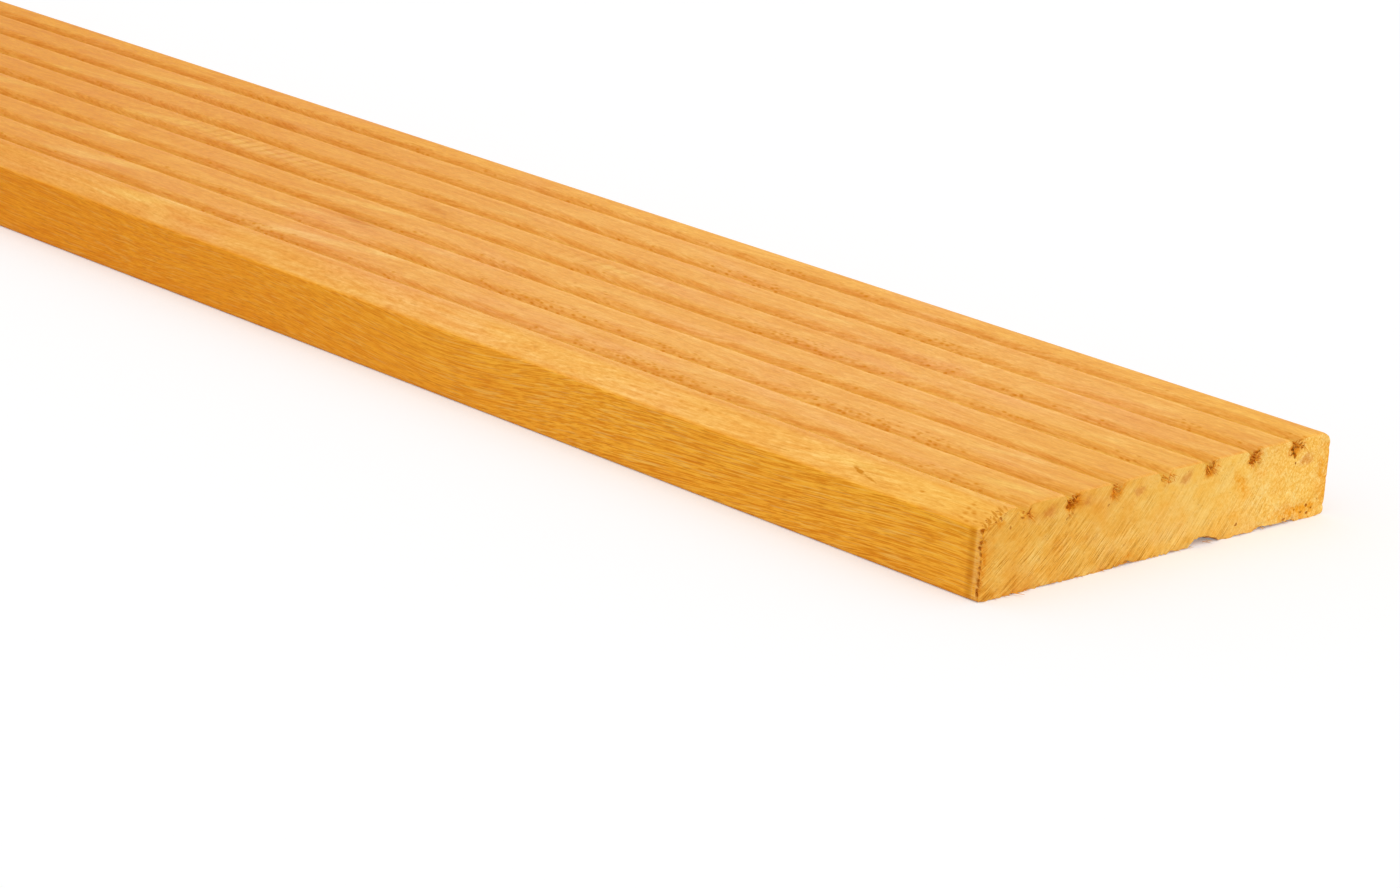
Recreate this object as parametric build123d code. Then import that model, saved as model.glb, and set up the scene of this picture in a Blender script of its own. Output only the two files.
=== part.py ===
from build123d import *
from math import atan2, tan
import os

# Grooved hardwood decking plank: one sawn and planed length of timber, lying grooved face up.
# X runs along the plank, Y across it, Z up. The origin is at the middle of the flat underside.
# The near long edge is on -Y, the far one on +Y.

# Stock size, millimetres
plank_length = 2450.0
plank_width = 145.0
plank_thickness = 25.0

# Long edges: the near upper one is bevelled, the far upper one rounded, the lower ones eased
near_bevel_width = 9.0
near_bevel_drop = 5.0
bevel_shoulder_radius = 4.0
bevel_arris_radius = 0.6
far_edge_radius = 4.0
lower_edge_radius = 1.0

# Grooves: flanks lean out from a narrow floor, and the lands between them roll over into the grooves
groove_pitch = 19.1
groove_mouth = 4.8  # between the flanks at the face, before the shoulders of the lands are rounded
groove_floor = 2.4
groove_depth = 3.2
groove_floor_radius = 0.9
land_shoulder_radius = 2.0
outer_land_least = 1.0  # flat left between the last shoulder and the shaped edge

# As many grooves as the face takes, spread evenly about its middle
flank_angle = atan2(groove_depth, (groove_mouth - groove_floor) / 2)
shoulder_run = land_shoulder_radius * tan(flank_angle / 2)
outer_margin = max(near_bevel_width, far_edge_radius) + outer_land_least + shoulder_run + groove_mouth / 2
groove_count = 1 + int((plank_width - 2 * outer_margin) // groove_pitch)


def shaped_blank():
    """The section before grooving, standing on the flat face, with its long edges worked."""
    near = -plank_width / 2
    far = plank_width / 2
    bevel_top = near + near_bevel_width
    bevel_foot = plank_thickness - near_bevel_drop
    edge_radii = {
        (near, 0): lower_edge_radius,
        (far, 0): lower_edge_radius,
        (far, plank_thickness): far_edge_radius,
        (bevel_top, plank_thickness): bevel_shoulder_radius,
        (near, bevel_foot): bevel_arris_radius,
    }
    with BuildSketch() as blank:
        with BuildLine():
            Polyline(*edge_radii, close=True)
        make_face()
        for corner, radius in edge_radii.items():
            fillet(blank.vertices().sort_by_distance(corner)[0], radius)
    return blank.sketch


def groove_cut():
    """One groove's section, its mouth on the local X axis and its floor below."""
    with BuildSketch() as cut:
        with BuildLine():
            Polyline(
                (-groove_mouth / 2, 0),
                (groove_mouth / 2, 0),
                (groove_floor / 2, -groove_depth),
                (-groove_floor / 2, -groove_depth),
                close=True,
            )
        make_face()
        fillet(cut.vertices().group_by(Axis.Y)[0], groove_floor_radius)
    return cut.sketch


def grooved_section():
    """The blank less its grooves, with the shoulders of the lands softened."""
    outer_shoulder = (groove_count - 1) / 2 * groove_pitch + groove_mouth / 2
    with BuildSketch() as section:
        add(shaped_blank())
        with Locations((0, plank_thickness)):
            with GridLocations(groove_pitch, 0, groove_count, 1):
                add(groove_cut(), mode=Mode.SUBTRACT)
        on_top = section.vertices().group_by(Axis.Y)[-1]
        shoulders = on_top.filter_by_position(Axis.X, -outer_shoulder, outer_shoulder)
        fillet(shoulders, land_shoulder_radius)
    return section.sketch


with BuildPart() as plank:
    with BuildSketch(Plane.YZ):
        add(grooved_section())
    extrude(amount=plank_length / 2, both=True)

plank.part.label = "plank"
os.makedirs("parts", exist_ok=True)
export_step(plank.part, "parts/plank.step")
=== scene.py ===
import math

import bpy
import numpy as np
from mathutils import Matrix, Vector, noise


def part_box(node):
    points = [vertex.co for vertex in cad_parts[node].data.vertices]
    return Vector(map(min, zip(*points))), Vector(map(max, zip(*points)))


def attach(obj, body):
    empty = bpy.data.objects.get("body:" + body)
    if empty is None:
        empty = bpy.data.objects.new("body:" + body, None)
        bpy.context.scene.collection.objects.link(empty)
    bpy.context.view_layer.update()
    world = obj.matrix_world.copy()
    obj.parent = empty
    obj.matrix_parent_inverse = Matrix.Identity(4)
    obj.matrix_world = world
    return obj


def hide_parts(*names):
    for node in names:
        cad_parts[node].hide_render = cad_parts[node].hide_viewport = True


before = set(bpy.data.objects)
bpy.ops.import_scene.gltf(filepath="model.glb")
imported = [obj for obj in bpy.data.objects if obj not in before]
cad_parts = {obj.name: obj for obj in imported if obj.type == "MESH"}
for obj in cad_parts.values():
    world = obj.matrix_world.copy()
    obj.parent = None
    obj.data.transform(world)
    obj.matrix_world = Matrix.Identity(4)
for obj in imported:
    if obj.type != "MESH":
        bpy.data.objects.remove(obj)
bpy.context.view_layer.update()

plankLow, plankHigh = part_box("plank")
mm = 0.001
plankLength = (plankHigh.x - plankLow.x) / mm
plankWidth = (plankHigh.y - plankLow.y) / mm
plankHeight = (plankHigh.z - plankLow.z) / mm
print("frame loaded, plank %.0f x %.0f x %.0f mm" % (plankLength, plankWidth, plankHeight))


# small helpers for the mesh code
# places on the plank are (distance from the seen end, across, up), in millimetres

def unit(v):
    return v / np.linalg.norm(v)


def ease(low, high, value):
    # 0 at low, 1 at high, smooth between
    t = np.clip((value - low) / (high - low), 0, 1)
    return t * t * (3 - 2 * t)


def blob(a, b, centreA, centreB, reachA, reachB, turn=0.0):
    # soft oval spot, 1 in its middle
    c, s = math.cos(math.radians(turn)), math.sin(math.radians(turn))
    da, db = a - centreA, b - centreB
    return np.exp(-((da * c + db * s) / reachA) ** 2 - ((db * c - da * s) / reachB) ** 2)


def strongest(spots, a, b):
    # the strongest of several blobs at each place
    found = np.zeros_like(a)
    for *shape, strength in spots:
        found = np.maximum(found, strength * blob(a, b, *shape))
    return found


def softNoise(points, cell, seed):
    # smooth noise from -1 to 1, cell is its size along each axis
    shift = np.array([17.3, 5.1, 9.7]) * seed
    scaled = points / np.array(cell) + shift
    return np.array([noise.noise(Vector(p)) for p in scaled])


def addObject(name, data):
    made = bpy.data.objects.new(name, data)
    bpy.context.scene.collection.objects.link(made)
    return made


def toMetres(points):
    back, across, up = points.T * mm
    return np.column_stack([plankHigh.x - back, across, plankLow.z + up])


# the plank: section as sawn and planed, then the wear on it

plank = {
    "bevelWidth": 9.0, "bevelDrop": 5.0, "bevelShoulder": 4.0, "bevelArris": 0.6,
    "farRound": 4.0, "lowerRound": 1.0,
    "grooveCount": 7, "groovePitch": 19.1, "grooveMouth": 4.8, "grooveFloor": 2.4,
    "grooveDepth": 3.2, "floorRound": 0.9, "landRound": 2.0,
    "acrossStep": 1.15,        # mesh step on flats, across
    "roundSteps": 4,           # mesh steps round each small radius
    "sideRows": 28,            # mesh rows up the edges and the end faces
    "nearRows": [0.0, 0.15, 0.4, 0.8],                   # first sections, from the seen end
    "farRows": [14, 8, 4, 2, 0.8, 0.4, 0.15, 0],         # last sections, from the far end
    "finestStep": 0.45, "stepGrowth": 1.07,
    "stepLimits": [(260, 2.6), (650, 5.5), (2450, 34.0)],     # largest step as far as this distance
    "underColumns": 9, "underFine": 9.0,       # columns per face underneath, and the fine strip by the ends
    "sharpAngle": 42,
    "lipWaver": 0.14,          # sideways wander of the groove lips
    "depthWaver": 0.12,        # rise and fall of the groove floors
    "pluckDepth": 0.45,        # depth of torn grain
    "endRough": 0.09,          # saw roughness of the end face
    "endSoftness": 0.32,       # worn round of the end's upper edge
    "endReach": 6.0,           # how far the end's wear runs in
    "farEndShare": 0.35,       # wear of the far end against the seen one
    # depth that each place on the end has lost
    "tornDepth": 1.1, "nearArrisLoss": 0.45, "farArrisLoss": 0.30, "bevelLoss": 0.9, "lowerLoss": 0.6,
    "cornerLoss": 0.7, "chipBack": 0.8, "chipIn": 0.7, "fringeHeight": 0.36,
}

grooveCentres = (np.arange(plank["grooveCount"]) - (plank["grooveCount"] - 1) / 2) * plank["groovePitch"]

# torn groove ends: groove number, strength, sideways shift
tornGrooves = [
    (0, 0.45, 2.4), (1, 1.0, 1.2), (2, 0.7, 0.0), (3, 0.4, 1.6),
    (4, 0.85, 1.6), (5, 1.0, 1.2), (6, 1.0, 0.4),
]

# the spots that make up each torn groove end: sideways, up, half width, half height, turn, share
tearSpots = [(0.0, 22.8, 2.9, 2.1, 30, 1.0), (-1.5, 21.4, 1.8, 1.5, -20, 0.8)]

# chips along the lower end edge: middle across, half width, height, depth into the plank
lowerChips = [
    (19.0, 5.6, 2.3, 7.0), (24.0, 2.4, 1.4, 4.0), (49.0, 8.0, 0.75, 5.0), (57.5, 2.2, 0.9, 3.0),
    (-13.0, 3.0, 0.5, 3.0), (-44.0, 4.0, 0.4, 2.0), (6.0, 2.0, 0.5, 2.0), (36.0, 2.5, 0.35, 2.0),
]

# chips up the near arris of the end: distance, up, half width, half height, strength
arrisChips = [
    (0.7, 20.0, 1.3, 1.1, 1.0), (0.6, 16.6, 1.0, 0.9, 1.0), (0.8, 15.0, 1.2, 0.9, 1.0),
    (0.5, 13.4, 0.9, 0.6, 0.8), (0.6, 9.7, 0.9, 0.7, 0.9), (0.7, 8.2, 0.8, 0.6, 0.8),
    (0.7, 6.1, 1.0, 0.7, 1.0), (0.6, 4.8, 0.8, 0.6, 0.8), (0.6, 2.6, 0.9, 1.4, 1.0),
    (0.5, 11.4, 0.7, 0.5, 0.7),
]

# stains on the sawn end: across, up, half width, half height, turn, strength
endFlushes = [
    (33.0, 16.2, 6.6, 2.2, -42, 1.0), (43.0, 17.4, 2.6, 1.6, 0, 0.6), (49.0, 17.4, 2.6, 1.5, -20, 0.6),
    (60.0, 2.6, 13.0, 3.2, 0, 1.05), (-13.5, 1.9, 3.4, 1.6, 0, 1.0), (-67.0, 2.0, 6.0, 2.4, 0, 0.5),
    (-67.0, 22.0, 3.4, 2.0, -30, 0.9), (-71.8, 12.0, 1.2, 9.0, 0, 0.8), (66.0, 19.0, 3.0, 3.0, 0, 0.4),
    (71.5, 13.0, 4.6, 12.0, 0, 1.0),
]
endSmudges = [
    (-46.6, 21.3, 3.0, 2.0, 15, 0.8), (-31.6, 21.6, 2.6, 2.0, 0, 0.75), (-10.3, 21.0, 3.0, 1.7, 20, 0.85),
    (9.2, 21.4, 2.8, 2.0, 38, 1.0), (62.6, 18.2, 3.4, 1.8, 0, 0.9), (-61.8, 21.0, 2.2, 1.8, 0, 0.5),
]

# torn grain on the grooved face: distance from the end, across, half length, half width, strength
tornPatches = [
    (198, 41.0, 30, 2.6, 0.6), (118, 40.6, 24, 3.0, 0.9), (27, 40.8, 12, 2.6, 0.6),
    (175, 21.4, 5, 1.6, 0.7), (76, 21.6, 5, 1.8, 0.9), (57, 21.4, 10, 2.2, 0.5),
    (150, 3.0, 24, 3.4, 0.9), (57, 2.6, 15, 2.8, 0.6), (236, 2.4, 6, 2.0, 0.6),
    (215, -13.5, 20, 4.0, 0.4), (116, -17.0, 14, 3.0, 0.5), (40, -17.5, 16, 2.0, 0.35),
    (218, -35.5, 30, 3.2, 0.95), (80, -35.4, 42, 3.4, 1.0), (148, -54.6, 30, 3.6, 1.0),
    (32, -54.8, 15, 2.8, 0.65), (330, -54.8, 22, 2.8, 0.7), (405, -54.8, 10, 2.4, 0.3),
    (395, 40.8, 4, 1.6, 0.5), (306, 40.4, 4, 1.6, 0.5), (6, -67.0, 6, 4.0, 0.9),
    (30, -67.0, 12, 3.0, 0.22), (120, -66.0, 20, 2.6, 0.15), (260, -66.5, 30, 3.0, 0.2),
    (72, -2.9, 9, 0.8, 0.8), (40, -2.9, 6, 0.8, 0.7), (95, -22.2, 8, 0.8, 0.6),
    (60, -41.4, 9, 0.8, 0.7), (110, 16.2, 8, 0.8, 0.6), (160, -22.2, 9, 0.8, 0.6),
    (30, 35.4, 7, 0.8, 0.6),
]

# brown handling marks on the grooved face, in the same terms with a turn before the strength
brownMarks = [
    (318, 8.0, 11, 2.8, 15, 1.0), (320, -23.2, 15, 4.4, 12, 1.0), (405, -52.0, 9, 4.5, 4, 0.35),
    (438, 40.6, 7, 2.0, 4, 0.5), (178, -45.0, 10, 4.0, 4, 0.3), (300, 28.0, 14, 4.0, 4, 0.25),
    (470, -30.0, 16, 4.0, 4, 0.3),
]

# planer ripple left on a few lands, without a turn
rippleMarks = [
    (410, 9.4, 50, 5.4, 1.0), (240, 9.2, 30, 4.0, 0.6), (320, 9.2, 30, 4.0, 0.3), (430, -9.6, 40, 4.0, 0.3),
]

# pale flames in the grain of the lands, with a turn
paleFlames = [
    (452, 9.5, 30, 3.4, -14, 1.0), (400, 10.0, 46, 4.2, -4, 0.8), (331, -7.7, 28, 2.5, -12, 1.0),
    (457, -27.0, 25, 3.2, -17, 1.0), (333, -29.0, 30, 2.8, -11, 1.0), (280, -26.8, 16, 2.4, -10, 0.6),
    (426, -47.5, 27, 3.2, -13, 1.0), (303, -47.8, 34, 2.9, -12, 1.0), (378, -64.5, 26, 2.6, -10, 0.8),
    (303, 27.0, 16, 3.4, -10, 0.5), (158, 29.0, 20, 2.6, -15, 0.4), (231, 8.6, 22, 4.2, 0, 0.55),
    (26, 9.4, 28, 3.6, -8, 0.42), (212, -9.5, 24, 3.0, -10, 0.45), (202, -28.5, 16, 2.8, -10, 0.45),
    (34, -27.0, 20, 2.8, -10, 0.5), (138, -47.5, 20, 3.0, -8, 0.4), (12, -48.0, 14, 3.4, -10, 0.7),
    (52, -66.5, 20, 1.2, -4, 0.6), (560, -28.0, 36, 3.4, -12, 0.9), (520, 28.0, 34, 3.4, -12, 0.8),
    (620, 9.0, 30, 3.4, -12, 0.8), (540, -9.0, 30, 3.4, -12, 0.7), (500, 47.0, 30, 3.4, -12, 0.7),
]


def roundCorner(before, corner, after, radius, steps):
    # points on the arc that rounds a corner
    corner = np.array(corner, float)
    back = unit(np.array(before, float) - corner)
    ahead = unit(np.array(after, float) - corner)
    half = math.acos(float(np.clip(back @ ahead, -1, 1))) / 2
    centre = corner + unit(back + ahead) * radius / math.sin(half)
    start = corner + back * radius / math.tan(half) - centre
    turn = math.pi - 2 * half
    side = back[0] * ahead[1] - back[1] * ahead[0]
    angles = math.atan2(start[1], start[0]) + np.linspace(0, -turn if side > 0 else turn, steps + 1)
    return centre + radius * np.column_stack([np.cos(angles), np.sin(angles)])


def straightRun(start, end, steps):
    # points between two ends, both left out
    share = np.linspace(0, 1, steps + 1)[1:-1, None]
    return start + (end - start) * share


def upperArcs():
    # the rounded corners of the upper side, from the bevel's foot over the grooves to the far round
    near, far, top = -plankWidth / 2, plankWidth / 2, plankHeight
    small = plank["roundSteps"]
    corners = [
        (near, top - plank["bevelDrop"], plank["bevelArris"], 4),
        (near + plank["bevelWidth"], top, plank["bevelShoulder"], small),
    ]
    mouth, floor, depth = plank["grooveMouth"] / 2, plank["grooveFloor"] / 2, plank["grooveDepth"]
    for centre in grooveCentres:
        corners += [
            (centre - mouth, top, plank["landRound"], small),
            (centre - floor, top - depth, plank["floorRound"], small),
            (centre + floor, top - depth, plank["floorRound"], small),
            (centre + mouth, top, plank["landRound"], small),
        ]
    corners.append((far, top, plank["farRound"], 8))
    places = [(near, 0)] + [c[:2] for c in corners] + [(far, 0)]
    return [roundCorner(places[i], c[:2], places[i + 2], c[2], c[3]) for i, c in enumerate(corners)]


def topSide(arcs):
    # from the middle of the bevel's foot to the middle of the far round
    run = [arcs[0][2:]]
    for arc in arcs[1:-1] + [arcs[-1][:5]]:
        gap = arc[0] - run[-1][-1]
        steps = max(1, round(float(np.linalg.norm(gap)) / plank["acrossStep"]))
        run += [straightRun(run[-1][-1], arc[0], steps), arc]
    return np.vstack(run)


def bottomSide(top):
    # under each point of the upper side, with the two eased edges sampled
    r = plank["lowerRound"]
    across = top[:, 0].copy()
    eased = plankWidth / 2 - r + r * np.sin(np.radians([45, 22.5, 0]))
    across[:3] = -eased
    across[-3:] = eased[::-1]
    past = np.clip(np.abs(across) - (plankWidth / 2 - r), 0, r)
    return np.column_stack([across, r - np.sqrt(r ** 2 - past ** 2)])


def edgeSide(topArc, sign):
    # up one long edge: eased foot, flat, then the given arc
    low = np.radians([45, 67.5, 90])
    r = plank["lowerRound"]
    foot = np.column_stack([sign * (plankWidth / 2 - r + r * np.sin(low)), r - r * np.cos(low)])
    flatSteps = plank["sideRows"] - 2 - (len(topArc) - 1)
    return np.vstack([foot, straightRun(foot[-1], topArc[0], flatSteps), topArc])


def stationList():
    # distances from the seen end where the section is repeated
    rows = list(plank["nearRows"])
    step = plank["finestStep"]
    half = plankLength / 2
    farRows = [plankLength - r for r in plank["farRows"]]
    while rows[-1] < farRows[0] - step:
        limit = next(largest for reach, largest in plank["stepLimits"] if rows[-1] < reach)
        step = min(step * plank["stepGrowth"], limit)
        following = rows[-1] + step
        rows.append(half if rows[-1] < half < following else following)
    return np.array([r for r in rows if r < farRows[0] - 4] + farRows)


def filledEnd(bottom, top, left, right):
    # inner points of an end face, blended from its four sides
    u = ((top[:, 0] - top[0, 0]) / (top[-1, 0] - top[0, 0]))[1:-1, None, None]
    v = np.linspace(0, 1, len(left))[None, 1:-1, None]
    acrossWays = (1 - v) * bottom[1:-1, None] + v * top[1:-1, None]
    upWays = (1 - u) * left[None, 1:-1] + u * right[None, 1:-1]
    corners = (1 - u) * (1 - v) * left[0] + u * (1 - v) * right[0]
    corners = corners + (1 - u) * v * left[-1] + u * v * right[-1]
    return acrossWays + upWays - corners


def nearestGroove(across):
    # number of the nearest groove, and how far a point lies past its middle
    number = np.abs(across[:, None] - grooveCentres[None]).argmin(1)
    return number, across - grooveCentres[number]


def tornEnds(across, up):
    # how strongly the groove ends are torn at a place on the end face
    found = np.zeros_like(across)
    for number, strength, shift in tornGrooves:
        centre = grooveCentres[number] + shift
        spot = np.zeros_like(across)
        for aside, height, reachAcross, reachUp, turn, share in tearSpots:
            spot = spot + share * blob(across, up, centre + aside, height, reachAcross, reachUp, turn)
        found = np.maximum(found, strength * np.clip(spot, 0, 1))
    return found


def endRecess(across, up, points):
    # how far the sawn end is torn or worn back at a place on it
    saw = softNoise(points, (9, 1.6, 1.6), 3) + 0.6 * softNoise(points, (9, 5.0, 5.0), 4)
    recess = plank["endRough"] * (saw + 0.9)
    strands = softNoise(points, (9, 2.2, 0.9), 14)
    recess += plank["tornDepth"] * tornEnds(across, up) * np.clip(0.7 + strands, 0, 1.5)
    ragged = softNoise(points, (9, 9.0, 1.1), 6)
    recess += plank["nearArrisLoss"] * ease(0.0, 0.5, ragged) * ease(-70.6, -72.3, across)
    recess += plank["farArrisLoss"] * ease(0.1, 0.6, ragged) * ease(70.8, 72.4, across)
    bevelBreaks = softNoise(points, (9, 0.9, 9.0), 8)
    onBevel = ease(-60.0, -65.0, across) * ease(18.0, 21.0, up)
    recess += plank["bevelLoss"] * ease(0.0, 0.6, bevelBreaks) * onBevel
    lowBreaks = softNoise(points, (9, 1.2, 9.0), 9)
    recess += plank["lowerLoss"] * ease(-0.1, 0.6, lowBreaks) * ease(1.4, 0.0, up)
    recess += plank["cornerLoss"] * blob(across, up, 61.0, 3.0, 7.0, 2.6) * (0.6 + 0.6 * ragged)
    return recess


def weatherPoints(points, marks):
    # moves every point of the plain plank by the same smooth fields, so faces stay joined
    back, across, up = points.T.copy()
    toEnd, toFar = points[:, 0], plankLength - points[:, 0]
    nearest, beyond = nearestGroove(across)
    offset = np.abs(beyond)
    upper = ease(19.5, 21.5, up)
    lane = np.column_stack([back, nearest * 50.0, np.zeros_like(back)])
    sway = softNoise(lane, (38, 9, 9), 1) + 0.5 * softNoise(lane, (9, 9, 9), 2)
    across = across + plank["lipWaver"] * ease(6.0, 3.0, offset) * upper * sway
    up = up - plank["depthWaver"] * ease(3.0, 1.2, offset) * upper * softNoise(lane, (60, 9, 9), 5)
    plucked = np.clip(softNoise(points, (3.4, 1.5, 1.5), 13) + 0.1, 0, 1)
    up = up - plank["pluckDepth"] * marks["tornGrain"] * plucked

    # end face wear, strongest at the seen end and light at the far one
    flat = points * np.array([0, 1, 1])
    atEnd = np.clip(1 - toEnd / plank["endReach"], 0, 1) ** 2
    atFar = np.clip(1 - toFar / plank["endReach"], 0, 1) ** 2
    close = (atEnd > 0) | (atFar > 0)
    recess = np.zeros_like(back)
    recess[close] = endRecess(points[close, 1], points[close, 2], flat[close])
    back = back + recess * atEnd - plank["farEndShare"] * recess * atFar
    chipped = marks["arrisChip"]
    back = back + plank["chipBack"] * chipped * atEnd
    across = across + plank["chipIn"] * chipped

    # the upper end edge is worn round, the lower one chipped
    edgeFade = np.clip(1 - np.minimum(toEnd, toFar), 0, 1) ** 2
    up = up - plank["endSoftness"] * edgeFade * ease(23.0, 25.0, points[:, 2])
    chip = np.zeros_like(back)
    for middle, halfWidth, height, depth in lowerChips:
        outline = np.clip(1 - ((points[:, 1] - middle) / halfWidth) ** 4, 0, 1)
        chip = np.maximum(chip, height * outline * np.clip(1 - toEnd / depth, 0, 1) ** 0.8)
    fringe = np.zeros_like(back)
    fringe[close] = softNoise(flat[close], (9, 0.8, 9), 11) + softNoise(flat[close], (9, 2.4, 9), 12)
    chip = chip + plank["fringeHeight"] * np.clip(fringe + 0.3, 0, 1.5) * np.maximum(atEnd, 0.4 * atFar)
    up = up + chip * np.clip(1 - points[:, 2] / 8.0, 0, 1) ** 2
    return np.column_stack([back, across, np.maximum(up, 0)])


def markAmounts(points):
    # how strongly each kind of mark shows at each point
    back, across, up = points.T
    onFace = ease(15.0, 19.0, up)
    onEnd = np.clip(1 - back / 3.0, 0, 1)
    onNear = ease(-71.2, -72.3, across) * ease(21.0, 20.0, up)
    nearest, beyond = nearestGroove(across)
    flank = onFace * ease(0.3, 1.4, beyond) * ease(5.6, 3.4, beyond)
    lane = np.column_stack([back, nearest * 40.0, np.zeros_like(back)])
    ticks = flank * np.clip(softNoise(lane, (14, 9, 9), 15) + 0.15, 0, 1) * ease(700, 560, back)
    chips = strongest(arrisChips, back, up) * ease(-71.0, -72.2, across)
    return {
        "tornGrain": np.maximum(onFace * strongest(tornPatches, back, across), 0.7 * ticks),
        "flank": flank,
        "paleFlame": onFace * strongest(paleFlames, back, across),
        "tornDeep": np.maximum(onEnd * tornEnds(across, up), chips),
        "arrisChip": chips,
        "brownMark": onFace * strongest(brownMarks, back, across),
        "ripple": onFace * strongest(rippleMarks, back, across),
        "arrisRub": onNear * ease(0.2, 0.9, back) * ease(3.2, 2.2, back),
        "endBand": onNear * ease(2.4, 3.2, back) * ease(5.6, 4.4, back),
        "edgeSide": ease(71.6, 72.3, np.abs(across)) * ease(20.6, 19.8, up),
        "underside": ease(1.0, 0.3, up),
        # further from the seen end, easing off past 800 mm: partly deeper tone, partly painted shade where
        # the light falls off
        "lengthToneAndShade": ease(90, 620, back) * (1 - 0.6 * ease(800, 1700, back)),
        # groove walls and floors, for painted light that lifts their shade
        "grooveWallLight": onFace * ease(24.4, 22.2, up) * ease(4.0, 3.0, np.abs(beyond)),
        "endTone": onFace * ease(75, 8, back),
        "farLand": onFace * ease(60.0, 62.0, across) * ease(72.0, 69.0, across),
        # the land shoulder on the near side of each groove, for a painted highlight
        "lipHighlight": onFace * ease(-2.3, -2.9, beyond) * ease(-5.0, -3.9, beyond),
        # further from the seen end along the edges, easing off past 800 mm: plainer lines there, and a tint
        # that is partly deeper tone, partly painted shade
        "edgeFade": ease(100, 330, back) * (1 - 0.6 * ease(800, 1700, back)),
        # the bevel, fading away from the seen end: it carries painted light and plainer lines
        "bevelSide": ease(-63.2, -65.0, across) * ease(20.0, 20.6, up) * (1 - 0.8 * ease(60, 420, back)),
        "endFlush": onEnd * strongest(endFlushes, across, up),
        "endSmudge": onEnd * strongest(endSmudges, across, up),
        # painted shade across the end face, darkest at its near side
        "endShade": ease(-55, 75, across),
    }


def plankMesh():
    arcs = upperArcs()
    top = topSide(arcs)
    bottom = bottomSide(top)
    left = edgeSide(arcs[0][:3], -1)
    right = edgeSide(arcs[-1][::-1][:5], 1)
    wrap = np.vstack([right, top[::-1][1:], left[::-1][1:]])      # far edge, grooved face, near edge
    girth = np.concatenate([[0], np.cumsum(np.linalg.norm(np.diff(wrap, axis=0), axis=1))])
    columns, rows = len(top) - 1, plank["sideRows"]
    stations = stationList()
    kept = set(range(0, columns + 1, plank["underColumns"])) | {1, 2, columns - 2, columns - 1, columns}
    kept = sorted(kept)
    everyColumn = list(range(columns + 1))

    points, around = [], []      # around is the way round the section to a point, for the bake map

    def addPoints(distance, flat, reach):
        first = len(points)
        points.extend((distance, y, z) for y, z in flat)
        around.extend(reach)
        return list(range(first, len(points)))

    wrapIds, bottomIds = [], []
    for distance in stations:
        ids = addPoints(distance, wrap, girth)
        fine = min(distance, plankLength - distance) < plank["underFine"]
        inner = [c for c in (everyColumn if fine else kept) if 0 < c < columns]
        innerIds = addPoints(distance, bottom[inner], [0] * len(inner))
        wrapIds.append(ids)
        bottomIds.append(dict(zip([0] + inner + [columns], [ids[-1]] + innerIds + [ids[0]])))

    faces, faceKinds = [], []
    for i in range(len(stations) - 1):
        a, b = wrapIds[i], wrapIds[i + 1]
        for c in range(len(wrap) - 1):
            faces.append((a[c], a[c + 1], b[c + 1], b[c]))
            faceKinds.append(("wrap", i))
        low, high = bottomIds[i], bottomIds[i + 1]
        shared = sorted(set(low) & set(high))
        for c, d in zip(shared[:-1], shared[1:]):
            near = [low[x] for x in sorted(low) if c <= x <= d]
            far = [high[x] for x in sorted(high) if c <= x <= d]
            faces.append(tuple(near + far[::-1]))
            faceKinds.append(("under", i))

    inner = filledEnd(bottom, top, left, right)
    for endIndex in (0, len(stations) - 1):
        ids, under = wrapIds[endIndex], bottomIds[endIndex]
        grid = np.empty((columns + 1, rows + 1), int)
        grid[:, 0] = [under[c] for c in everyColumn]
        grid[columns, :] = ids[:rows + 1]
        grid[:, rows] = ids[rows:rows + columns + 1][::-1]
        grid[0, :] = ids[rows + columns:][::-1]
        innerIds = addPoints(stations[endIndex], inner.reshape(-1, 2), [0] * (inner.size // 2))
        grid[1:-1, 1:-1] = np.array(innerIds).reshape(inner.shape[:2])
        for c in range(columns):
            for r in range(rows):
                corners = (grid[c, r], grid[c + 1, r], grid[c + 1, r + 1], grid[c, r + 1])
                quad = tuple(int(v) for v in corners)
                faces.append(quad if endIndex == 0 else quad[::-1])
                faceKinds.append(("end", endIndex))

    plain = np.array(points)
    marks = markAmounts(plain)
    mesh = bpy.data.meshes.new("plankBoard")
    mesh.from_pydata(toMetres(weatherPoints(plain, marks)).tolist(), [], faces)
    mesh.polygons.foreach_set("material_index", [1 if kind == "end" else 0 for kind, i in faceKinds])
    for name, amount in marks.items():
        layer = mesh.attributes.new(name, "FLOAT", "POINT")
        layer.data.foreach_set("value", amount.astype(np.float32))
    layBakeMap(mesh, plain, around, girth[-1], stations, faces, faceKinds)
    mesh.polygons.foreach_set("use_smooth", [True] * len(mesh.polygons))
    mesh.set_sharp_from_angle(angle=math.radians(plank["sharpAngle"]))
    mesh.update()
    return mesh


# the map that the finish is baked through
# two half-lengths, each unrolled round the section, and the two ends
bakeLayout = {"margin": 0.006, "endBand": 0.13, "underShare": 0.45, "endStretch": 3.0, "stretchReach": 25.0}


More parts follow.
